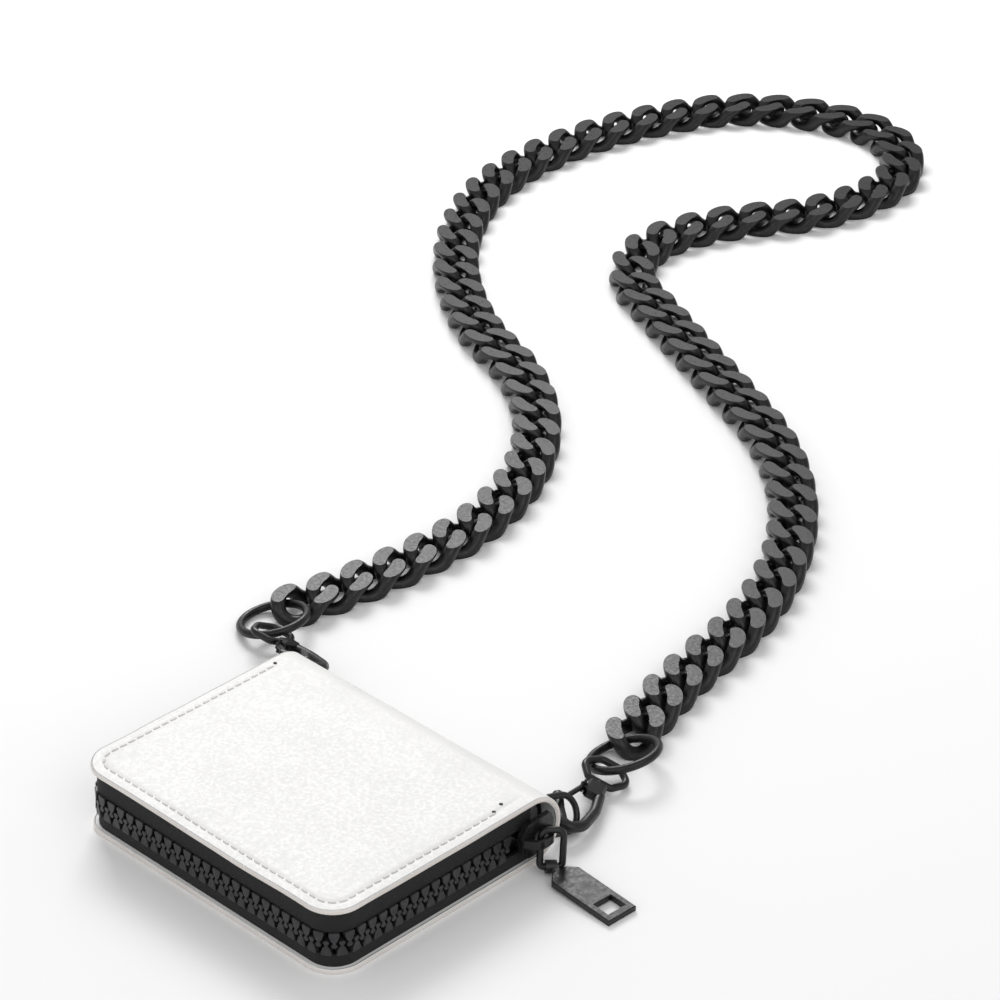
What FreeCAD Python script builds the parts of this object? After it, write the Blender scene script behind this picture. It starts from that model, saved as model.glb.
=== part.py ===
import FreeCAD, Part
import math
import os

# A zip-around chain wallet. Millimetres, +Z up. The origin is the centre of the flat face that the
# wallet rests on, +X runs along the folded spine and +Y points from the front edge to the spine.
# The lower half of the case lies on the table; the upper half opens about a line in the spine.

V = FreeCAD.Vector
doc = FreeCAD.newDocument("ChainWallet")
sheet = doc.addObject("Spreadsheet::Sheet", "Sizes")

DIMENSIONS = (
    ("case_width", 104), ("case_front", 41), ("case_height", 21.5), ("corner_radius", 10),
    ("leather", 1.6), ("spine_back", 36), ("hinge_angle", 30),
    ("lining", 0.5), ("lining_inset", 6), ("lining_gap", 0.1),
    ("pocket_thick", 0.6), ("pocket_width", 90), ("pocket_depth", 58), ("pocket_step", 9),
    ("tape_inset", 1.6), ("tape_thick", 0.8), ("tape_low_top", 5.6), ("tape_high_bottom", 13.1),
    ("tooth_pitch", 3.9), ("tooth_thick", 2.6), ("tooth_wide", 2.9), ("tooth_tall", 3.3),
    ("teeth_end", 27.5), ("stop_long", 3.4),
    ("slider_long", 12.5), ("slider_middle", 35.4), ("slider_bottom", 5), ("slider_tall", 11.4),
    ("slider_plate", 1.6), ("slider_gap", 4.6), ("web_thick", 0.4), ("web_long", 7),
    ("crown_out", 3.9), ("crown_wide", 2.6), ("crown_thick", 1.1),
    ("link_wire", 2.0), ("pull_loop_long", 11), ("pull_loop_wide", 6.4),
    ("tab_long", 25), ("tab_wide", 10.5), ("tab_thick", 1.8), ("tab_window", 5.4),
    ("dee_wire", 1.9), ("dee_bar", 10.6), ("dee_depth", 10.7), ("loop_strap", 0.32), ("strap_wide", 5.4),
    ("hook_wire", 3.3), ("gate_thick", 1.6), ("block_size", 5.8), ("post_wire", 2.2),
    ("eye_wire", 2.2), ("eye_wide", 13), ("eye_long", 10),
    ("jump_wire", 2.6), ("jump_radius", 10.3),
    ("chain_pitch", 12.5), ("chain_wire", 4.6), ("chain_wide", 16.4), ("chain_thick", 6.6),
)
for row, (alias, number) in enumerate(DIMENSIONS, start=1):
    sheet.set("A%d" % row, alias)
    sheet.set("B%d" % row, str(number))
    sheet.setAlias("B%d" % row, alias)
doc.recompute()
size = {alias: float(sheet.get(alias)) for alias, _ in DIMENSIONS}

NODES = []


def rule(text):
    """An expression on the sheet, written with the bare aliases."""
    words = text.replace("(", "( ").replace(")", " )").split()
    return " ".join("Sizes." + word if word in size else word for word in words)


def bind(part, **rules):
    for prop, text in rules.items():
        part.setExpression(prop.replace("__", "."), rule(text))
    return part


def place(part, x="0", y="0", z="0"):
    return bind(part, Placement__Base__x=x, Placement__Base__y=y, Placement__Base__z=z)


def box(name, size_rules, corner_rules):
    part = doc.addObject("Part::Box", name)
    bind(part, Length=size_rules[0], Width=size_rules[1], Height=size_rules[2])
    return place(part, *corner_rules)


def cylinder(name, radius, height, centre_rules, turn=None, angle="360"):
    part = doc.addObject("Part::Cylinder", name)
    if turn is not None:
        part.Placement = FreeCAD.Placement(V(), turn)
    bind(part, Radius=radius, Height=height, Angle=angle)
    return place(part, *centre_rules)


def fuse(name, parts):
    joined = doc.addObject("Part::MultiFuse", name)
    joined.Shapes = parts
    joined.Refine = True
    return joined


def cut(name, base, tool):
    rest = doc.addObject("Part::Cut", name)
    rest.Base = base
    rest.Tool = tool
    return rest


def node(part, label):
    """Marks a document object as a finished piece with its own file."""
    part.Label = label
    NODES.append(part)
    return part


def feature(label, shape, placement=None):
    part = doc.addObject("Part::Feature", label)
    part.Shape = shape
    part.Placement = placement or FreeCAD.Placement()
    return node(part, label)


# ------------------------------------------------------------------ leather case and lining

def plate(name, inset, z, height, back):
    """A flat plate with the case's outline: two round front corners, open square at the back."""
    half = "( case_width / 2 - " + inset + " )"
    flat = "( case_width / 2 - corner_radius )"
    front = "( case_front - " + inset + " )"
    bend = "( case_front - corner_radius )"
    radius = "corner_radius - " + inset
    pieces = [
        box(name + "_wide", ("2 * " + half, back + " + " + bend, height), ("-1 * " + half, "-1 * " + bend, z)),
        box(name + "_front", ("2 * " + flat, "corner_radius - " + inset, height),
            ("-1 * " + flat, "-1 * " + front, z)),
    ]
    for side, sign in (("left", "-1"), ("right", "1")):
        centre = (sign + " * " + flat, "-1 * " + bend, z)
        pieces.append(cylinder(name + "_corner_" + side, radius, height, centre))
    return fuse(name + "_plate", pieces)


def spine_arc(name, outer, thick, half_length, start, sweep):
    """A length of the rolled spine: a curved strip about the spine's own axis, along X."""
    a = math.radians(start)
    turn = FreeCAD.Rotation(V(0, math.cos(a), math.sin(a)), V(0, -math.sin(a), math.cos(a)), V(1, 0, 0), "ZXY")
    centre = ("-1 * " + half_length, "spine_back", "case_height / 2")
    solid = cylinder(name + "_roll", outer, "2 * " + half_length, centre, turn, sweep)
    hole = cylinder(name + "_hollow", outer + " - " + thick, "2 * " + half_length + " + 2", centre, turn)
    bind(hole, Placement__Base__x="-1 * " + half_length + " - 1")
    return cut(name + "_arc", solid, hole)


def case_half(label, z, start, sweep):
    flat = plate(label, "0", z, "leather", "spine_back")
    roll = spine_arc(label, "case_height / 2", "leather", "( case_width / 2 )", start, sweep)
    node(fuse(label + "_leather", [flat, roll]), label)


def lining_half(label, z, start, sweep):
    flat = plate(label, "lining_inset", z, "lining", "spine_back")
    roll = spine_arc(label, "case_height / 2 - leather - lining_gap", "lining",
                     "( case_width / 2 - lining_inset )", start, sweep)
    node(fuse(label + "_fabric", [flat, roll]), label)


low_sweep = "90 + hinge_angle"
high_sweep = "90 - hinge_angle"
case_half("base_leather", "0", -90, low_sweep)
case_half("cover_leather", "case_height - leather", size["hinge_angle"], high_sweep)
lining_half("base_lining", "leather + lining_gap", -90, low_sweep)
lining_half("cover_lining", "case_height - leather - lining - lining_gap", size["hinge_angle"], high_sweep)

# Card pockets: three overlapping leaves on each side, each leaf set one step further forward.
POCKET_LEAVES = 3
for leaf in range(POCKET_LEAVES):
    depth = "pocket_depth - %d * pocket_step" % leaf
    for side, level in (("base", "leather + lining + 2 * lining_gap + %d * pocket_thick" % leaf),
                        ("cover", "case_height - leather - lining - 2 * lining_gap - %d * pocket_thick"
                         % (leaf + 1))):
        label = "%s_card_pocket_%d" % (side, leaf + 1)
        leaf_box = box(label + "_leaf", ("pocket_width", depth, "pocket_thick"),
                       ("-1 * pocket_width / 2", "-1 * case_front + lining_inset + 1", level))
        node(leaf_box, label)

# ------------------------------------------------------------------ zip

def tape(label, z, height):
    outer = plate(label + "_outer", "tape_inset", z, height, "spine_back")
    inner = plate(label + "_inner", "( tape_inset + tape_thick )", z + " - 1", height + " + 2",
                  "( spine_back + 5 )")
    node(cut(label + "_band", outer, inner), label)


tape("zip_tape_low", "leather", "tape_low_top - leather")
tape("zip_tape_high", "tape_high_bottom", "case_height - leather - tape_high_bottom")


def tooth_seats():
    """Places along the zip, as (point on the tape's centre line, outward direction)."""
    inset = size["tape_inset"] + size["tape_thick"] / 2
    side = size["case_width"] / 2 - inset
    front = size["case_front"] - inset
    radius = size["corner_radius"] - inset
    bend_x = side - radius
    bend_y = front - radius
    runs = (size["teeth_end"] + bend_y, math.pi / 2 * radius, 2 * bend_x)
    total = 2 * runs[0] + 2 * runs[1] + runs[2]
    count = int(total / size["tooth_pitch"])
    seats = []
    for k in range(count):
        s = (k + 0.5) * total / count
        mirror = s > total / 2
        s = min(s, total - s)
        if s < runs[0]:
            point, out = V(-side, size["teeth_end"] - s, 0), V(-1, 0, 0)
        elif s < runs[0] + runs[1]:
            a = (s - runs[0]) / radius
            out = V(-math.cos(a), -math.sin(a), 0)
            point = V(-bend_x, -bend_y, 0) + out * radius
        else:
            point, out = V(-bend_x + s - runs[0] - runs[1], -front, 0), V(0, -1, 0)
        if mirror:
            point.x, out.x = -point.x, -out.x
        seats.append((point, out))
    return seats


def tooth(root_z, tip_z):
    """One metal tooth at the origin: wide where it grips the tape, narrow at the head; +Y is outward."""
    wide = size["tooth_wide"] / 2
    half = size["tooth_thick"] / 2
    waist = root_z + (tip_z - root_z) * 0.45
    outline = [V(-wide, -half, root_z), V(wide, -half, root_z), V(wide, -half, waist),
               V(wide * 0.55, -half, tip_z), V(-wide * 0.55, -half, tip_z), V(-wide, -half, waist)]
    face = Part.Face(Part.makePolygon(outline + outline[:1]))
    return face.extrude(V(0, 2 * half, 0))


def teeth_row(label, root_z, tip_z):
    solids = []
    for point, out in tooth_seats():
        solid = tooth(root_z, tip_z)
        heading = math.degrees(math.atan2(-out.x, out.y))
        solid.Placement = FreeCAD.Placement(point, FreeCAD.Rotation(V(0, 0, 1), heading))
        solids.append(solid)
    feature(label, Part.makeCompound(solids))


low_root = size["tape_low_top"]
high_root = size["tape_high_bottom"]
teeth_row("zip_teeth_low", low_root, low_root + size["tooth_tall"])
teeth_row("zip_teeth_high", high_root, high_root - size["tooth_tall"])

# End stops: a closed box stop at the far end of the teeth and one crimped stop on each tape beyond
# the slider's parking place.
stop_x = "case_width / 2 - tape_inset - tape_thick / 2"
closed_stop = box("closed_stop_block", ("tooth_thick", "stop_long", "tooth_tall"),
                  ("-1 * ( " + stop_x + " ) - tooth_thick / 2", "teeth_end + 0.5", "tape_low_top"))
node(closed_stop, "zip_stop_closed")

# ------------------------------------------------------------------ slider

slider_x = size["case_width"] / 2 - size["tape_inset"] - size["tape_thick"] / 2


def slider_shape():
    """Two plates joined by a thin web that runs in the gap between the two rows of teeth."""
    half = size["slider_long"] / 2
    low = size["slider_bottom"]
    high = low + size["slider_tall"]
    middle = (low + high) / 2
    inner = size["slider_gap"] / 2
    thick = size["slider_plate"]
    nose = 2.6
    outline = [V(0, -half + nose, low), V(0, half - nose * 0.4, low), V(0, half, low + nose),
               V(0, half, high - nose), V(0, half - nose * 0.4, high), V(0, -half + nose, high),
               V(0, -half, high - nose), V(0, -half, low + nose)]
    face = Part.Face(Part.makePolygon(outline + outline[:1]))
    outer_plate = face.extrude(V(thick, 0, 0))
    outer_plate.translate(V(inner, 0, 0))
    inner_plate = face.extrude(V(-thick, 0, 0))
    inner_plate.translate(V(-inner, 0, 0))
    web_middle = (size["tape_low_top"] + size["tape_high_bottom"]) / 2
    web = Part.makeBox(2 * inner, size["web_long"], size["web_thick"],
                       V(-inner, -size["web_long"] / 2, web_middle - size["web_thick"] / 2))
    start = V(inner + thick - 0.4, -half + 1.2, middle)
    out = size["crown_out"]
    top_start = start + V(out, 2.6, 0)
    top_end = start + V(out, 2 * half - 5, 0)
    end = start + V(0, 2 * half - 2.4, 0)
    crown = strap([start, top_start, top_end, end], 2.2, size["crown_thick"], size["crown_wide"])
    return outer_plate.multiFuse([inner_plate, web, crown]).removeSplitter()


def corner_arcs(points, radii, closed):
    """Splits a path into straight runs and tangent arcs: yields (start, middle, end) per corner."""
    corners = []
    count = len(points)
    for k in range(count):
        if not closed and k in (0, count - 1):
            corners.append((points[k], None, points[k]))
            continue
        here = points[k]
        back = (points[k - 1] - here).normalize()
        ahead = (points[(k + 1) % count] - here).normalize()
        turn = math.pi - back.getAngle(ahead)
        reach = radii[k] * math.tan(turn / 2)
        start, end = here + back * reach, here + ahead * reach
        centre = here + (back + ahead).normalize() * (radii[k] / math.cos(turn / 2))
        middle = centre + (here - centre).normalize() * radii[k]
        corners.append((start, middle, end))
    return corners


def path_wire(points, radii, closed):
    corners = corner_arcs(points, radii, closed)
    edges = []
    for k, (start, middle, end) in enumerate(corners):
        if middle is not None:
            edges.append(Part.Arc(start, middle, end).toShape())
        if closed or k < len(corners) - 1:
            following = corners[(k + 1) % len(corners)][0]
            if (following - end).Length > 1e-6:
                edges.append(Part.LineSegment(end, following).toShape())
    return edges


def rod(points, radii, wire, closed=False):
    """A round wire bent along straight runs and arcs."""
    if not isinstance(radii, (list, tuple)):
        radii = [radii] * len(points)
    pieces = []
    for edge in path_wire(points, radii, closed):
        start = edge.valueAt(edge.FirstParameter)
        along = edge.tangentAt(edge.FirstParameter)
        disc = Part.Face(Part.Wire([Part.Circle(start, along, wire / 2).toShape()]))
        if isinstance(edge.Curve, Part.Line):
            pieces.append(disc.extrude(edge.valueAt(edge.LastParameter) - start))
        else:
            circle = edge.Curve
            swing = math.degrees(edge.Length / circle.Radius)
            axis = (start - circle.Center).cross(along)
            pieces.append(disc.revolve(circle.Center, axis, swing))
    return pieces[0].multiFuse(pieces[1:]).removeSplitter() if len(pieces) > 1 else pieces[0]


def strap(points, radius, thick, wide):
    """A flat strip bent in the XY plane, as wide as given along Z."""
    edges = path_wire(points, [radius] * len(points), False)
    centre = Part.Wire(edges)
    outer = centre.makeOffset2D(thick / 2, openResult=True)
    inner = centre.makeOffset2D(-thick / 2, openResult=True)
    ends = [Part.makePolygon([outer.OrderedVertexes[k].Point, inner.OrderedVertexes[k].Point])
            for k in (0, -1)]
    face = Part.Face(Part.Wire(Part.__sortEdges__(outer.Edges + inner.Edges + ends[0].Edges + ends[1].Edges)))
    solid = face.extrude(V(0, 0, wide))
    solid.translate(V(0, 0, -wide / 2))
    return solid


feature("slider_body", slider_shape(), FreeCAD.Placement(V(slider_x, size["slider_middle"], 0), FreeCAD.Rotation()))

# Pull loop: a closed oblong of wire that passes through the slider's crown and hangs to the table.
loop_top = V(slider_x + 7.0, size["slider_middle"] + 2.8, 13.2)
loop_down = V(0.135, -0.198, -0.971).normalize()
loop_side = V(0.6, 0.795, 0)
loop_side = (loop_side - loop_down * loop_side.dot(loop_down)).normalize()
loop_long = size["pull_loop_long"]
loop_half = size["pull_loop_wide"] / 2
loop_points = [loop_top - loop_side * loop_half, loop_top + loop_side * loop_half,
               loop_top + loop_side * loop_half + loop_down * loop_long,
               loop_top - loop_side * loop_half + loop_down * loop_long]
feature("pull_loop", rod(loop_points, [2.2, 2.2, 1.3, 1.3], size["link_wire"], closed=True))

# Pull tab: a flat bar with a square window. A knuckle at its near end turns about the loop's foot,
# and its far end rests on the table.
loop_foot = loop_top + loop_down * loop_long
tab_ahead = V(0.976, -0.03, -0.055).normalize()
TAB_START = 3.1
KNUCKLE_WIDE = 3.2
KNUCKLE_PLAY = 0.2
KNUCKLE_WALL = 0.75


def tab_shape():
    half = size["tab_wide"] / 2
    long = size["tab_long"]
    thick = size["tab_thick"]
    chamfer = 2.6
    outline = [V(0, -half + chamfer, 0), V(chamfer, -half, 0), V(long, -half, 0), V(long, half, 0),
               V(chamfer, half, 0), V(0, half - chamfer, 0)]
    bar = Part.Face(Part.makePolygon(outline + outline[:1])).extrude(V(0, 0, thick))
    window = size["tab_window"]
    hole = Part.makeBox(window, window + 1, thick + 2, V(long - window - 2.4, -window / 2 - 0.5, -1))
    bar = bar.cut(hole)
    edges = [edge for edge in bar.Edges
             if abs(edge.BoundBox.ZMin - thick) < 1e-6 and abs(edge.BoundBox.ZMax - thick) < 1e-6]
    bar = bar.makeChamfer(0.25, edges)
    neck = Part.makeBox(TAB_START + 0.5, 2.4, thick, V(-TAB_START, -1.2, 0))
    return bar.fuse(neck)


def tab_with_knuckle():
    """The bar set in place, with its knuckle round the loop's foot."""
    turn = FreeCAD.Rotation(V(1, 0, 0), tab_ahead)
    start = loop_foot + tab_ahead * TAB_START - turn.multVec(V(0, 0, size["tab_thick"] / 2))
    bar = tab_shape()
    bar.Placement = FreeCAD.Placement(start, turn)
    bore = size["link_wire"] / 2 + KNUCKLE_PLAY
    end = loop_foot - loop_side * (KNUCKLE_WIDE / 2)
    knuckle = Part.makeCylinder(bore + KNUCKLE_WALL, KNUCKLE_WIDE, end, loop_side)
    passage = Part.makeCylinder(bore, KNUCKLE_WIDE + 4, end - loop_side * 2, loop_side)
    return bar.fuse(knuckle).cut(passage).removeSplitter()


feature("pull_tab", tab_with_knuckle())

# ------------------------------------------------------------------ spine rings and their straps

def dee_ring(middle, bar_way, out_way):
    """A D-shaped ring: a straight bar and a round bow."""
    half = size["dee_bar"] / 2
    depth = size["dee_depth"]
    points = [middle - bar_way * half, middle + bar_way * half,
              middle + bar_way * half + out_way * depth, middle - bar_way * half + out_way * depth]
    return rod(points, [1.3, 1.3, half * 0.96, half * 0.96], size["dee_wire"], closed=True)


def dee_strap(middle, bar_way, out_way):
    """The leather loop that ties the bar to the spine: a tube round the bar and a tail to the spine."""
    bore = size["dee_wire"] / 2 + 0.07
    outer = bore + size["loop_strap"]
    wide = size["strap_wide"]
    start = middle - bar_way * (wide / 2)
    tube = Part.makeCylinder(outer, wide, start, bar_way)
    inward = out_way * -1
    side = bar_way.cross(inward).normalize()
    tail = Part.makeBox(wide, 2 * outer, 4.5)
    tail.translate(V(-wide / 2, -outer, 0))
    frame = FreeCAD.Placement(middle, FreeCAD.Rotation(bar_way, side, inward, "XZY"))
    tail.Placement = frame.multiply(tail.Placement)
    solid = tube.fuse(tail)
    solid = solid.cut(Part.makeCylinder(bore, wide + 2, start - bar_way, bar_way))
    spine = Part.makeCylinder(size["case_height"] / 2 + 0.02, size["case_width"],
                              V(-size["case_width"] / 2, size["spine_back"], size["case_height"] / 2), V(1, 0, 0))
    return max(solid.cut(spine).Solids, key=lambda s: s.Volume)


# Each ring hangs from the spine: the middle of its bar, the bar's direction and the way it points.
DEE_RINGS = (("right", V(46.0, 48.0, 7.2), V(-0.507, 0.274, 0.817), V(0.089, 0.96, -0.266)),
             ("left", V(-50.8, 48.7, 8.4), V(-0.354, -0.16, 0.921), V(-0.806, 0.551, -0.215)))
for side, middle, bar_way, out_way in DEE_RINGS:
    bar_way.normalize()
    out_way = (out_way - bar_way * out_way.dot(bar_way)).normalize()
    feature("dee_ring_" + side, dee_ring(middle, bar_way, out_way))
    feature("dee_strap_" + side, dee_strap(middle, bar_way, out_way))

# ------------------------------------------------------------------ snap hooks with swivel eyes

# The swivel post's head sits in a round pocket inside the block, between these two distances from
# the block's centre. GATE_PIN is the radius of the pin that the gate turns on.
POST_HEAD_NEAR = 0.3
POST_HEAD_FAR = 1.3
GATE_PIN = 0.5


def snap_hook(side, base, along, left, eye_along):
    """A trigger snap hook. base is the swivel block's centre, along points to the bow, left to the tip."""
    up = along.cross(left).normalize()

    def at(a, b, c=0.0):
        return base + along * a + left * b + up * c

    wire = size["hook_wire"]
    block = size["block_size"]
    shank = rod([at(1.5, -1.9), at(9.0, -2.9), at(17.5, -1.9), at(22.2, 2.6), at(15.2, 6.4), at(9.6, 8.7)],
                [0, 14, 5.0, 2.6, 9, 0], wire)
    core = Part.makeBox(block, block, block * 0.72)
    core.translate(V(-block / 2, -block / 2, -block * 0.36))
    core = core.makeChamfer(0.8, core.Edges)
    core.Placement = FreeCAD.Placement(base, FreeCAD.Rotation(along, left, up, "XYZ"))
    bore = Part.makeCylinder(size["post_wire"] / 2 + 0.15, block + POST_HEAD_FAR, at(-block, 0), along)
    pocket = Part.makeCylinder(size["post_wire"] / 2 + 0.75, POST_HEAD_FAR + 0.25 - POST_HEAD_NEAR + 0.25,
                               at(POST_HEAD_NEAR - 0.25, 0), along)
    seat = Part.makeCylinder(GATE_PIN, 10, at(0.4, block / 2 + 0.6, -5), up)
    body = core.fuse(shank)
    relief = Part.makeBox(6, 3.4, 2.2)
    relief.translate(V(-2.2, 0, -1.1))
    relief.Placement = FreeCAD.Placement(at(0.4, block / 2 - 1.1),
                                         FreeCAD.Rotation(along, left, up, "XYZ")).multiply(relief.Placement)
    body = body.cut(bore).cut(pocket).cut(relief).cut(seat)
    body = max(body.Solids, key=lambda s: s.Volume)
    feature("hook_" + side, body)

    gate_start = at(0.4, block / 2 + 0.6)
    gate_end = at(8.9, 6.4)
    thick = size["gate_thick"]
    gate = rod([gate_start, gate_end], 0, thick)
    pivot = Part.makeCylinder(GATE_PIN + 0.55, 1.8, gate_start - up * 0.9, up)
    pin_hole = Part.makeCylinder(GATE_PIN + 0.06, 6, gate_start - up * 3, up)
    feature("gate_" + side, gate.fuse(pivot).cut(pin_hole).removeSplitter())
    feature("gate_pin_" + side, Part.makeCylinder(GATE_PIN, 4.2, gate_start - up * 2.1, up))

    swivel_eye(side, base, along, eye_along, up)


def swivel_eye(side, base, along, out, up):
    """A wide D-shaped eye whose post turns in the hook's block."""
    across = up.cross(out).normalize()
    wide = size["eye_wide"] / 2
    long = size["eye_long"]
    root = base - along * (size["block_size"] / 2 + 0.25 + size["eye_wire"] / 2)
    points = [root - across * wide * 0.55, root + across * wide * 0.55, root + across * wide * 1.1 + out * long * 0.55,
              root + across * wide * 0.45 + out * long, root - across * wide * 0.45 + out * long,
              root - across * wide * 1.1 + out * long * 0.55]
    eye = rod(points, [1.6, 1.6, 3.0, 3.0, 3.0, 3.0], size["eye_wire"], closed=True)
    reach = (base - root).Length + POST_HEAD_FAR
    post = Part.makeCylinder(size["post_wire"] / 2, reach, root, along)
    head = Part.makeCylinder(size["post_wire"] / 2 + 0.55, POST_HEAD_FAR - POST_HEAD_NEAR,
                             base + along * POST_HEAD_NEAR, along)
    feature("swivel_eye_" + side, eye.multiFuse([post, head]).removeSplitter())


def level_frame(way, roll):
    """Unit vectors (along, left) of a hook whose bow points along way, rolled about that line."""
    along = V(way).normalize()
    level = V(along.y, -along.x, 0).normalize()
    return along, FreeCAD.Rotation(along, roll).multVec(level)


RIGHT_BASE = V(43.5, 69.6, 4.0)
right_along, right_left = level_frame(V(9.4, -18.9, 0.6), -20)
snap_hook("right", RIGHT_BASE, right_along, right_left, V(-0.4, 0.917, 0).normalize())
LEFT_BASE = V(-71.6, 57.6, 4.75)
left_along, left_left = level_frame(V(20, -3.6, 3.1), -25)
snap_hook("left", LEFT_BASE, left_along, left_left, V(-0.96, 0.28, 0).normalize())

# ------------------------------------------------------------------ jump rings and chain

JUMP_RINGS = (("right", V(37.8, 87.75, 4.8), V(-0.325, -0.045, 0.945)),
              ("left", V(-86.9, 65.9, 3.72), V(-0.234, -0.049, 0.971)))
for side, centre, normal in JUMP_RINGS:
    ring = Part.makeTorus(size["jump_radius"], size["jump_wire"] / 2, centre, normal.normalize())
    feature("jump_ring_" + side, ring)


def centre_line(t):
    """A point of the curb link's twisted oblong centre line, with t from 0 to 2 pi."""
    squareness = 2 / 2.8
    half_long = (size["chain_pitch"] + size["chain_wire"]) / 2 + 0.12
    half_wide = (size["chain_wide"] - size["chain_wire"]) / 2
    c, s = math.cos(t), math.sin(t)
    u = math.copysign(abs(c) ** squareness, c)
    y = half_wide * math.copysign(abs(s) ** squareness, s)
    twist = math.radians(-45) * math.copysign(abs(u) ** 0.7, u)
    return V(half_long * u, y * math.cos(twist), y * math.sin(twist))


def curb_link():
    """One link of flattened curb chain: a twisted wire loop of arcs, ground flat above and below."""
    samples = 1200
    line = [centre_line(2 * math.pi * k / samples) for k in range(samples + 1)]
    run = [0.0]
    for k in range(samples):
        run.append(run[-1] + (line[k + 1] - line[k]).Length)
    stations = []
    count = 6
    for k in range(count):
        target = run[-1] * (k + 0.5) / count
        j = next(i for i in range(samples) if run[i + 1] >= target)
        tangent = (line[(j + 3) % samples] - line[j - 3]).normalize()
        stations.append((line[j], tangent))
    pieces = []
    for k in range(count):
        start, way = stations[k]
        end, end_way = stations[(k + 1) % count]
        middle = biarc_middle(start, way, end, end_way)
        way = bend_piece(pieces, start, way, middle)
        bend_piece(pieces, middle, way, end)
    loop = pieces[0].multiFuse(pieces[1:])
    thick = size["chain_thick"]
    slab = Part.makeBox(60, 60, thick, V(-30, -30, -thick / 2))
    return loop.common(slab).Solids[0]


def biarc_middle(p1, t1, p2, t2):
    """The point where two tangent arcs from (p1, t1) and to (p2, t2) meet."""
    span = p2 - p1
    a = 2 * (1 - t1.dot(t2))
    b = 2 * span.dot(t1 + t2)
    c = -span.dot(span)
    reach = -c / b if abs(a) < 1e-9 else (-b + math.sqrt(b * b - 4 * a * c)) / (2 * a)
    return (p1 + p2 + (t1 - t2) * reach) * 0.5


def bend_piece(pieces, start, way, end):
    """Adds one torus-shaped piece of wire and returns the direction at its end."""
    chord = end - start
    axis = way.cross(chord).normalize()
    inward = axis.cross(way)
    radius = chord.dot(chord) / (2 * chord.dot(inward))
    centre = start + inward * radius
    swing = 2 * math.asin(min(1.0, chord.Length / (2 * abs(radius))))
    disc = Part.Face(Part.Wire([Part.Circle(start, way, size["chain_wire"] / 2).toShape()]))
    pieces.append(disc.revolve(centre, axis, math.degrees(swing)))
    return FreeCAD.Rotation(axis, math.degrees(swing)).multVec(way)


# The chain lies in a loose loop behind the wallet: (number of links, turn in degrees before each).
CHAIN_START = V(-88.9, 73.4, 0)
CHAIN_HEADING = 77.2
CHAIN_ARCS = ((4, 2.9), (11, 6.7), (2, -6.2), (3, -4.4), (4, -5.2), (3, -7.4), (3, -5.2), (3, -4.5),
              (5, -10.6), (5, -19.5), (4, -10.1), (3, 8.3), (4, 19.5), (7, 0.0), (7, -4.9), (5, -4.7), (5, 2.6))


def chain_places():
    """Centre and heading of each link."""
    corner = V(CHAIN_START)
    heading = CHAIN_HEADING
    places = []
    for links, turn in CHAIN_ARCS:
        for _ in range(links):
            step = V(math.cos(math.radians(heading)), math.sin(math.radians(heading)), 0) * size["chain_pitch"]
            places.append((corner + step / 2, heading))
            corner = corner + step
            heading += turn
    return places


CHAIN_NODES = 12
link = curb_link()
places = chain_places()
for part_no in range(CHAIN_NODES):
    first = part_no * len(places) // CHAIN_NODES
    last = (part_no + 1) * len(places) // CHAIN_NODES
    copies = []
    for centre, heading in places[first:last]:
        copy = link.copy()
        lift = V(0, 0, size["chain_thick"] / 2)
        copy.Placement = FreeCAD.Placement(centre + lift, FreeCAD.Rotation(V(0, 0, 1), heading))
        copies.append(copy)
    feature("chain_part_%02d" % (part_no + 1), Part.makeCompound(copies))

# ------------------------------------------------------------------ checks and files

doc.recompute()
for part in doc.Objects:
    if "Invalid" in part.State or "Error" in part.State:
        raise RuntimeError("%s did not compute: %s" % (part.Label, part.State))
for part in NODES:
    if part.Shape.isNull() or not part.Shape.isValid() or not part.Shape.Solids:
        raise RuntimeError("%s has no valid solid" % part.Label)

os.makedirs("parts", exist_ok=True)
for part in NODES:
    part.Shape.exportStep("parts/%s.step" % part.Label)
print("%d nodes, %d chain links" % (len(NODES), len(places)))
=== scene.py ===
import math

import bpy
from mathutils import Euler, Matrix, Vector, noise


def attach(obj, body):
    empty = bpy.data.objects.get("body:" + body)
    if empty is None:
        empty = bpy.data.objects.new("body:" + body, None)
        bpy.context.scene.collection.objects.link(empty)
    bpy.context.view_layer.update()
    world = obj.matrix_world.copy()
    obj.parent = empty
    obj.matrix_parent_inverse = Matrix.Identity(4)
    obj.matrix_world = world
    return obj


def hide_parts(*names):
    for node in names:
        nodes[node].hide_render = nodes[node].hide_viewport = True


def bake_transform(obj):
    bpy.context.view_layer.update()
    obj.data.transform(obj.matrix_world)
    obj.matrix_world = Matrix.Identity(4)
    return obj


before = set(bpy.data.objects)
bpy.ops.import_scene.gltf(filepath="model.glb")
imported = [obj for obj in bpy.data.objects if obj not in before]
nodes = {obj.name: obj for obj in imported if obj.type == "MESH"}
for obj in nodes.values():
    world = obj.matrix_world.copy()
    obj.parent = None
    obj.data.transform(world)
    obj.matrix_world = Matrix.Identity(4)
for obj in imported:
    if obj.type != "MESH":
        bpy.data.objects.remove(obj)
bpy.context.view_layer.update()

MM = 0.001

# ------------------------------------------------------------------ sizes of the case, in mm
HALF_WIDTH = 52.0
FRONT = 41.0
BACK = 36.0
HEIGHT = 21.5
CORNER = 10.0
LEATHER = 1.6
EDGE_ROUND = 0.5
STITCH_INSET = 3.8
STITCH_PITCH = 3.1
STITCH_LONG = 2.3
STITCH_THICK = 0.75
STITCH_END = 31.0
STITCH_RIGHT_END = 24.5
TEETH_END = 27.5
TOOTH_PITCH = 3.9
TAPE_MIDDLE = 2.0
LOW_ROOT = 5.6
HIGH_ROOT = 13.1


# ------------------------------------------------------------------ materials

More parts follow.
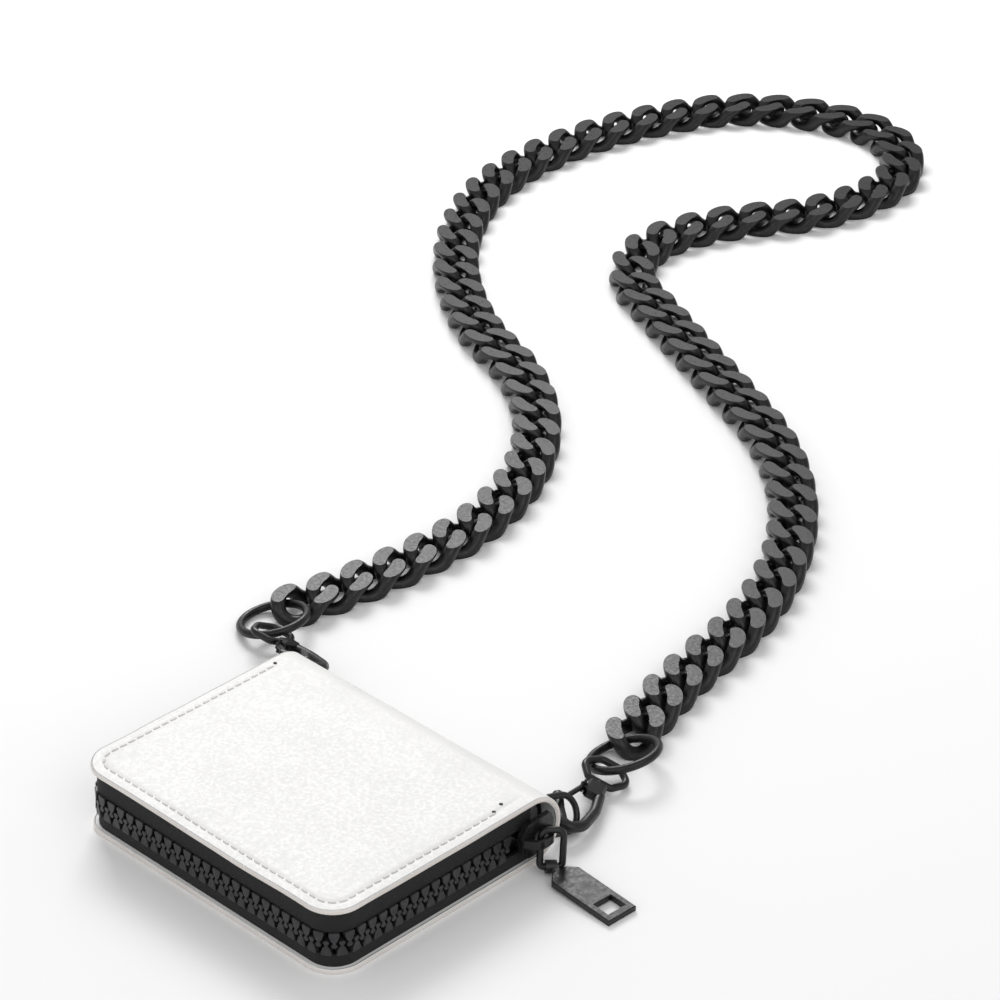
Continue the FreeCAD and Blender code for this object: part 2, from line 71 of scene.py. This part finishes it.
def new_material(name, colour, rough, metal=0.0):
    material = bpy.data.materials.new(name)
    material.use_nodes = True
    shader = material.node_tree.nodes["Principled BSDF"]
    shader.inputs["Base Color"].default_value = (*colour, 1)
    shader.inputs["Roughness"].default_value = rough
    shader.inputs["Metallic"].default_value = metal
    return material, material.node_tree, shader


def texture(tree, kind, scale, **values):
    """A procedural texture in the object's own coordinates, which are metres."""
    place = tree.nodes.new("ShaderNodeTexCoord")
    found = tree.nodes.new("ShaderNodeTex" + kind)
    found.inputs["Scale"].default_value = scale
    for key, value in values.items():
        if key in found.inputs:
            found.inputs[key].default_value = value
        else:
            setattr(found, key, value)
    tree.links.new(place.outputs["Object"], found.inputs["Vector"])
    return found


def ramp(tree, source, low, high, first=0.35, last=0.65):
    """Turns a 0-1 value into a colour or grey between low and high."""
    mapped = tree.nodes.new("ShaderNodeValToRGB")
    mapped.color_ramp.elements[0].position = first
    mapped.color_ramp.elements[1].position = last
    mapped.color_ramp.elements[0].color = (*low, 1)
    mapped.color_ramp.elements[1].color = (*high, 1)
    tree.links.new(source, mapped.inputs["Fac"])
    return mapped.outputs["Color"]


def bump(tree, shader, heights, depth):
    """Adds several height fields, each (output, weight), and bends the shading normal by them."""
    total = None
    for output, weight in heights:
        scaled = tree.nodes.new("ShaderNodeMath")
        scaled.operation = "MULTIPLY"
        scaled.inputs[1].default_value = weight
        tree.links.new(output, scaled.inputs[0])
        if total is None:
            total = scaled.outputs[0]
            continue
        added = tree.nodes.new("ShaderNodeMath")
        added.operation = "ADD"
        tree.links.new(total, added.inputs[0])
        tree.links.new(scaled.outputs[0], added.inputs[1])
        total = added.outputs[0]
    relief = tree.nodes.new("ShaderNodeBump")
    relief.inputs["Distance"].default_value = depth
    relief.inputs["Strength"].default_value = 1.0
    tree.links.new(total, relief.inputs["Height"])
    tree.links.new(relief.outputs["Normal"], shader.inputs["Normal"])


def leather_material(name, dark, light, grain):
    """Grained leather: grain is the depth of its relief in metres."""
    material, tree, shader = new_material(name, light, 0.48)
    patches = texture(tree, "Noise", 55, Detail=3.0)
    tree.links.new(ramp(tree, patches.outputs["Fac"], dark, light), shader.inputs["Base Color"])
    cells = texture(tree, "Voronoi", 1500, feature="SMOOTH_F1")
    fine = texture(tree, "Noise", 5200, Detail=2.0)
    soft = texture(tree, "Noise", 260, Detail=2.0)
    rough = texture(tree, "Noise", 900, Detail=2.0)
    grey = ramp(tree, rough.outputs["Fac"], (0.42,) * 3, (0.58,) * 3)
    tree.links.new(grey, shader.inputs["Roughness"])
    bump(tree, shader, [(cells.outputs["Distance"], 0.6), (fine.outputs["Fac"], 0.25),
                        (soft.outputs["Fac"], 0.7)], grain)
    shader.inputs["Specular IOR Level"].default_value = 0.42
    return material


def metal_material(name, dark, light, rough, grain, metal):
    """Lacquered metal with slightly uneven colour and gloss."""
    material, tree, shader = new_material(name, light, rough, metal)
    cloud = texture(tree, "Noise", 420, Detail=4.0)
    tree.links.new(ramp(tree, cloud.outputs["Fac"], dark, light), shader.inputs["Base Color"])
    smear = texture(tree, "Noise", 900, Detail=5.0)
    grey = ramp(tree, smear.outputs["Fac"], (rough - 0.07,) * 3, (rough + 0.08,) * 3)
    tree.links.new(grey, shader.inputs["Roughness"])
    pits = texture(tree, "Noise", 3800, Detail=3.0)
    bump(tree, shader, [(pits.outputs["Fac"], 1.0)], grain)
    shader.inputs["Specular IOR Level"].default_value = 0.5
    return material


def woven_material(name, dark, light, across, along, depth):
    """Cloth with threads both ways; across and along are threads per metre."""
    material, tree, shader = new_material(name, light, 0.88)
    weft = texture(tree, "Wave", along, bands_direction="Z", Distortion=0.6)
    warp = texture(tree, "Wave", across, bands_direction="DIAGONAL", Distortion=0.4)
    fuzz = texture(tree, "Noise", 2600, Detail=4.0)
    tree.links.new(ramp(tree, fuzz.outputs["Fac"], dark, light, 0.3, 0.7), shader.inputs["Base Color"])
    bump(tree, shader, [(weft.outputs["Fac"], 0.6), (warp.outputs["Fac"], 0.6),
                        (fuzz.outputs["Fac"], 0.5)], depth)
    shader.inputs["Sheen Weight"].default_value = 0.03
    shader.inputs["Sheen Roughness"].default_value = 0.5
    return material


white_leather = leather_material("white_leather", (0.775, 0.77, 0.76), (0.81, 0.805, 0.795), 0.00005)
raw_edge = leather_material("raw_leather_edge", (0.70, 0.65, 0.61), (0.78, 0.74, 0.71), 0.0002)
thread = leather_material("white_thread", (0.66, 0.645, 0.63), (0.76, 0.745, 0.73), 0.00006)
black_thread = leather_material("black_thread_end", (0.012, 0.012, 0.013), (0.03, 0.03, 0.032), 0.00006)
black_metal = metal_material("black_metal", (0.006, 0.006, 0.0065), (0.011, 0.011, 0.012),
                             0.34, 0.000006, 0.2)
chain_metal = metal_material("chain_metal", (0.007, 0.007, 0.0075), (0.013, 0.013, 0.014),
                             0.34, 0.000008, 0.3)
teeth_metal = metal_material("teeth_metal", (0.022, 0.022, 0.024), (0.036, 0.036, 0.039),
                             0.38, 0.000008, 0.3)
tape_cloth = woven_material("tape_cloth", (0.003, 0.003, 0.0035), (0.008, 0.008, 0.009), 900, 1100, 0.00010)
lining_cloth = woven_material("lining_cloth", (0.006, 0.006, 0.007), (0.014, 0.014, 0.015),
                              1300, 1500, 0.00008)


def paint(obj, material):
    obj.data.materials.clear()
    obj.data.materials.append(material)


for name, obj in nodes.items():
    if name.startswith("chain_part") or name.startswith("jump_ring"):
        paint(obj, chain_metal)
    elif name.endswith("_leather") or name.startswith("dee_strap"):
        paint(obj, white_leather)
    elif "lining" in name or "pocket" in name:
        paint(obj, lining_cloth)
    elif "tape" in name:
        paint(obj, tape_cloth)
    elif "teeth" in name:
        paint(obj, teeth_metal)
    else:
        paint(obj, black_metal)


# ------------------------------------------------------------------ helpers for new pieces

def new_piece(name, points, faces, materials, body, smooth=True):
    mesh = bpy.data.meshes.new(name)
    mesh.from_pydata([Vector(p) * MM for p in points], [], faces)
    mesh.update()
    obj = bpy.data.objects.new(name, mesh)
    bpy.context.scene.collection.objects.link(obj)
    for material in materials:
        mesh.materials.append(material)
    for polygon in mesh.polygons:
        polygon.use_smooth = smooth
    if body:
        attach(obj, body)
    return obj


def edge_distance(x, y):
    """How far a point of the panel lies inside the outline, in mm."""
    across, ahead = abs(x) - (HALF_WIDTH - CORNER), -y - (FRONT - CORNER)
    if across > 0 and ahead > 0:
        return CORNER - math.hypot(across, ahead)
    return min(HALF_WIDTH - abs(x), FRONT + y)


def relief(x, y):
    """Soft unevenness of the upper panel: fuller in the middle, pulled in along the stitches."""
    d = max(edge_distance(x, y), 0)
    full = 0.55 * (1 - math.exp(-d / 9))
    groove = -0.24 * math.exp(-((d - STITCH_INSET) / 0.85) ** 2)
    wave = 0.30 * noise.noise(Vector((x / 17, y / 17, 3.1))) * math.exp(-d / 7)
    broad = 0.28 * noise.noise(Vector((x / 34, y / 34, 7.7)))
    back = min(1.0, max(0.0, (BACK - y) / 6))
    return (full + wave + broad) * back + groove * back - 0.1


# ------------------------------------------------------------------ leather skin

def spread(stops):
    """Distances from an edge: stops are (up to, step) pairs."""
    values, at = [0.0], 0.0
    for end, step in stops:
        while at < end - 1e-9:
            at = min(at + step, end)
            values.append(at)
    return values


front_steps = [0.0, 0.04, 0.12, 0.25] + [0.25 + v for v in spread([(6, 0.3), (12, 0.6)])][1:]
panel_steps = front_steps + [12.25 + v for v in spread([(62, 1.2)])][1:]
panel_fractions = [v / panel_steps[-1] for v in panel_steps]
side_steps = spread([(6, 0.35), (12, 0.75), (HALF_WIDTH, 1.25)])
across = [-1 + v / HALF_WIDTH for v in side_steps]
across += [-v for v in reversed(across[:-1])]
ARC_STEPS = 40


def skin_point(row, t, inset, depth):
    """A point of the skin: row along the panels and the roll, t from -1 to 1 across."""
    count = len(panel_fractions)
    if row < count or row >= count + ARC_STEPS - 1:
        lower = row < count
        k = row if lower else 2 * count + ARC_STEPS - 2 - row
        y = -(FRONT - inset) + panel_fractions[k] * (FRONT - inset + BACK)
        ahead = max(0.0, -y - (FRONT - CORNER))
        radius = CORNER - inset
        half = HALF_WIDTH - CORNER + math.sqrt(max(radius ** 2 - ahead ** 2, 0))
        x = t * half
        if lower:
            d = max(edge_distance(x, y), 0)
            groove = 0.3 * math.exp(-((d - STITCH_INSET) / 0.85) ** 2) * min(1, max(0, (BACK - y) / 6))
            return Vector((x, y, depth + groove))
        return Vector((x, y, HEIGHT - depth + relief(x, y)))
    swing = math.pi * (row - count + 1) / ARC_STEPS
    x = t * (HALF_WIDTH - inset)
    crease = 0.14 * noise.noise(Vector((x / 13, swing * 2.2, 5.5))) * math.sin(swing)
    settle = -0.1 * (1 - math.cos(swing)) / 2
    radius = HEIGHT / 2 - depth + crease + settle
    return Vector((x, BACK + radius * math.sin(swing), HEIGHT / 2 - radius * math.cos(swing)))


rows = 2 * len(panel_fractions) + ARC_STEPS - 1
columns = len(across)
points, faces, kinds = [], [], []


def add_layer(inset, depth, flip):
    start = len(points)
    for row in range(rows):
        for t in across:
            points.append(skin_point(row, t, inset, depth))
    for row in range(rows - 1):
        for k in range(columns - 1):
            a = start + row * columns + k
            quad = (a, a + 1, a + columns + 1, a + columns)
            faces.append(quad if flip else quad[::-1])
            kinds.append(0)
    return start


outer_start = add_layer(EDGE_ROUND, 0, False)
inner_start = add_layer(EDGE_ROUND, LEATHER, True)
rim = [(0, k) for k in range(columns)]
rim += [(row, columns - 1) for row in range(1, rows)]
rim += [(rows - 1, k) for k in range(columns - 2, -1, -1)]
rim += [(row, 0) for row in range(rows - 2, 0, -1)]
layers = [[outer_start + row * columns + k for row, k in rim]]
EDGE_PROFILE = ((0.15, 0.15), (0.02, 0.45), (0.0, 0.8), (0.02, LEATHER - 0.45), (0.15, LEATHER - 0.15))
for inset, depth in EDGE_PROFILE:
    layers.append(list(range(len(points), len(points) + len(rim))))
    points += [skin_point(row, across[k], inset, depth) for row, k in rim]
layers.append([inner_start + row * columns + k for row, k in rim])
for layer, (here, below) in enumerate(zip(layers, layers[1:])):
    for k in range(len(rim)):
        following = (k + 1) % len(rim)
        faces.append((here[k], below[k], below[following], here[following]))
        kinds.append(1 if 0 < layer < len(layers) - 2 else 0)

skin = new_piece("leather_skin", points, faces, [white_leather, raw_edge], None)
for polygon, kind in zip(skin.data.polygons, kinds):
    polygon.material_index = kind
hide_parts("base_leather", "cover_leather")
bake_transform(skin)


# ------------------------------------------------------------------ paths round the case

def outline_place(s, inset, end):
    """Point and outward direction at length s of the three-sided path inset from the outline, which
    runs from the left side's back end round the front to the right side's back end."""
    side = HALF_WIDTH - inset
    front = FRONT - inset
    radius = CORNER - inset
    bend_x, bend_y = side - radius, front - radius
    straight, turn, middle = end + bend_y, math.pi / 2 * radius, 2 * bend_x
    total = 2 * straight + 2 * turn + middle
    mirror = s > total / 2
    if mirror:
        s = total - s
    if s < straight:
        point, out = Vector((-side, end - s, 0)), Vector((-1, 0, 0))
    elif s < straight + turn:
        a = (s - straight) / radius
        out = Vector((-math.cos(a), -math.sin(a), 0))
        point = Vector((-bend_x, -bend_y, 0)) + out * radius
    else:
        point, out = Vector((-bend_x + s - straight - turn, -front, 0)), Vector((0, -1, 0))
    if mirror:
        point.x, out.x = -point.x, -out.x
    return point, out, total


# ------------------------------------------------------------------ stitches

def capsule(centre, along, up, length, thick, height):
    """A short rounded thread length: 8 around, 7 rings."""
    side = along.cross(up).normalized()
    rings = []
    for k in range(7):
        a = math.pi * (k + 0.5) / 7
        rings.append((-math.cos(a) * length / 2, math.sin(a) ** 0.6))
    made, quads = [], []
    for offset, scale in rings:
        for j in range(8):
            b = 2 * math.pi * j / 8
            made.append(centre + along * offset + side * (math.cos(b) * thick / 2 * scale)
                        + up * (math.sin(b) * height / 2 * scale))
    for k in range(6):
        for j in range(8):
            quads.append((k * 8 + j, k * 8 + (j + 1) % 8, k * 8 + 8 + (j + 1) % 8, k * 8 + 8 + j))
    quads.append(tuple(range(7, -1, -1)))
    quads.append(tuple(range(48, 56)))
    return made, quads


def stitch_row(name, body, upper):
    total = outline_place(0, STITCH_INSET, STITCH_END)[2]
    count = int(total / STITCH_PITCH)
    made, quads = [], []
    for k in range(count):
        point, out, _ = outline_place((k + 0.5) * total / count, STITCH_INSET, STITCH_END)
        along = Vector((-out.y, out.x, 0))
        if point.x > 0 and point.y > STITCH_RIGHT_END:
            continue
        z = HEIGHT + relief(point.x, point.y) + 0.16 if upper else 0.30
        up = Vector((0, 0, 1 if upper else -1))
        lean = (along + out * 0.08).normalized()
        piece, sides = capsule(Vector((point.x, point.y, z)), lean, up, STITCH_LONG, STITCH_THICK, 0.5)
        quads += [tuple(len(made) + v for v in quad) for quad in sides]
        made += piece
    new_piece(name, made, quads, [thread], body)


stitch_row("stitches_upper", "cover", True)
stitch_row("stitches_lower", "base", False)

# Dark knots where the rows of stitches end.
knots, knot_faces = [], []
for x, y in ((47.6, 24.4), (46.6, 28.2), (-48.9, 31.9)):
    top = HEIGHT + relief(x, y) + 0.05
    piece, sides = capsule(Vector((x, y, top)), Vector((0.8, 0.6, 0)), Vector((0, 0, 1)), 1.1, 1.0, 0.5)
    knot_faces += [tuple(len(knots) + v for v in quad) for quad in sides]
    knots += piece
new_piece("stitch_ends", knots, knot_faces, [black_thread], "cover")


# ------------------------------------------------------------------ zip teeth

TOOTH_DEPTH = 2.2
BODY_HIGH = 2.9
BODY_WIDE = 3.0
NECK_WIDE = 0.95
HEAD_WIDE = 1.9
HEAD_HIGH = 1.5
TOOTH_REACH = 5.0


def tooth_outline():
    """Half outline of a tooth, as (half width, distance from the root): body, neck and round head."""
    head_start = TOOTH_REACH - HEAD_HIGH
    half = [(BODY_WIDE / 2 - 0.25, 0.0), (BODY_WIDE / 2, 0.3), (BODY_WIDE / 2, BODY_HIGH * 0.35),
            (BODY_WIDE / 2 - 0.55, BODY_HIGH - 0.2), (BODY_WIDE / 2 - 0.85, BODY_HIGH),
            (NECK_WIDE / 2, BODY_HIGH + 0.15), (NECK_WIDE / 2, head_start)]
    for k in range(1, 7):
        a = math.pi * k / 7
        width = HEAD_WIDE / 2 * math.sin(a) * 0.9 + 0.05
        half.append((width, head_start + HEAD_HIGH * (1 - math.cos(a)) / 2))
    return half


def tooth_row(name, body, root, direction, shift):
    total = outline_place(0, TAPE_MIDDLE, TEETH_END)[2]
    count = int(total / TOOTH_PITCH)
    half = tooth_outline()
    ring = half + [(-w, h) for w, h in reversed(half)]
    made, quads = [], []
    for k in range(count):
        s = (k + 0.25 + shift) * total / count
        point, out, _ = outline_place(s, TAPE_MIDDLE, TEETH_END)
        along = Vector((-out.y, out.x, 0))
        start = len(made)
        for deep, shrink in ((-1, 0.12), (-0.86, 0.0), (0.86, 0.0), (1, 0.12)):
            for w, h in ring:
                narrow = w - math.copysign(min(shrink, abs(w)), w)
                high = min(max(h, shrink), TOOTH_REACH - shrink)
                place = point + along * narrow + out * (deep * TOOTH_DEPTH / 2)
                made.append(Vector((place.x, place.y, root + direction * high)))
        n = len(ring)
        for layer in range(3):
            for j in range(n):
                a = start + layer * n + j
                b = start + layer * n + (j + 1) % n
                quads.append((a, b, b + n, a + n))
        quads.append(tuple(range(start + n - 1, start - 1, -1)))
        quads.append(tuple(range(start + 3 * n, start + 4 * n)))
    return new_piece(name, made, quads, [teeth_metal], body, smooth=False)


low_teeth = tooth_row("teeth_low", "base", LOW_ROOT, 1, 0.0)
high_teeth = tooth_row("teeth_high", "cover", HIGH_ROOT, -1, 0.5)
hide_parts("zip_teeth_low")
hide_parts("zip_teeth_high")


# ------------------------------------------------------------------ studio

def area_light(name, place, target, size, power):
    data = bpy.data.lights.new(name, "AREA")
    data.shape = "RECTANGLE"
    data.size, data.size_y = size
    data.energy = power
    obj = bpy.data.objects.new(name, data)
    obj.location = place
    obj.rotation_euler = (Vector(target) - Vector(place)).to_track_quat("-Z", "Y").to_euler()
    bpy.context.scene.collection.objects.link(obj)


floor_mesh = bpy.data.meshes.new("floor")
floor_mesh.from_pydata([(-3, -3, 0), (3, -3, 0), (3, 3, 0), (-3, 3, 0)], [], [(0, 1, 2, 3)])
floor = bpy.data.objects.new("floor", floor_mesh)
bpy.context.scene.collection.objects.link(floor)
floor_paint, _, _ = new_material("floor_paint", (0.93, 0.93, 0.93), 0.8)
floor_mesh.materials.append(floor_paint)
area_light("key", (-0.75, 0.62, 0.78), (0, 0.05, 0), (0.6, 0.45), 8.5)
area_light("fill", (0.9, -0.2, 0.8), (0, 0, 0), (0.9, 0.9), 2.6)
area_light("front", (0.1, -0.95, 0.6), (0, 0, 0), (1.0, 0.6), 1.7)

world = bpy.data.worlds.new("pale_world")
world.use_nodes = True
world.node_tree.nodes["Background"].inputs["Color"].default_value = (1, 1, 1, 1)
world.node_tree.nodes["Background"].inputs["Strength"].default_value = 0.55
bpy.context.scene.world = world

camera_data = bpy.data.cameras.new("camera")
camera_data.lens = 148.3
camera_data.sensor_width = 36
camera = bpy.data.objects.new("camera", camera_data)
aim = Euler((math.radians(58.75), 0, math.radians(44.3))).to_matrix()
turn = aim @ Matrix.Rotation(math.radians(0.54), 3, "Z")
camera.matrix_world = Matrix.Translation((0.6925, -0.6352, 0.6814)) @ turn.to_4x4()
bpy.context.scene.collection.objects.link(camera)
bpy.context.scene.camera = camera

bpy.context.scene.view_settings.view_transform = "Standard"
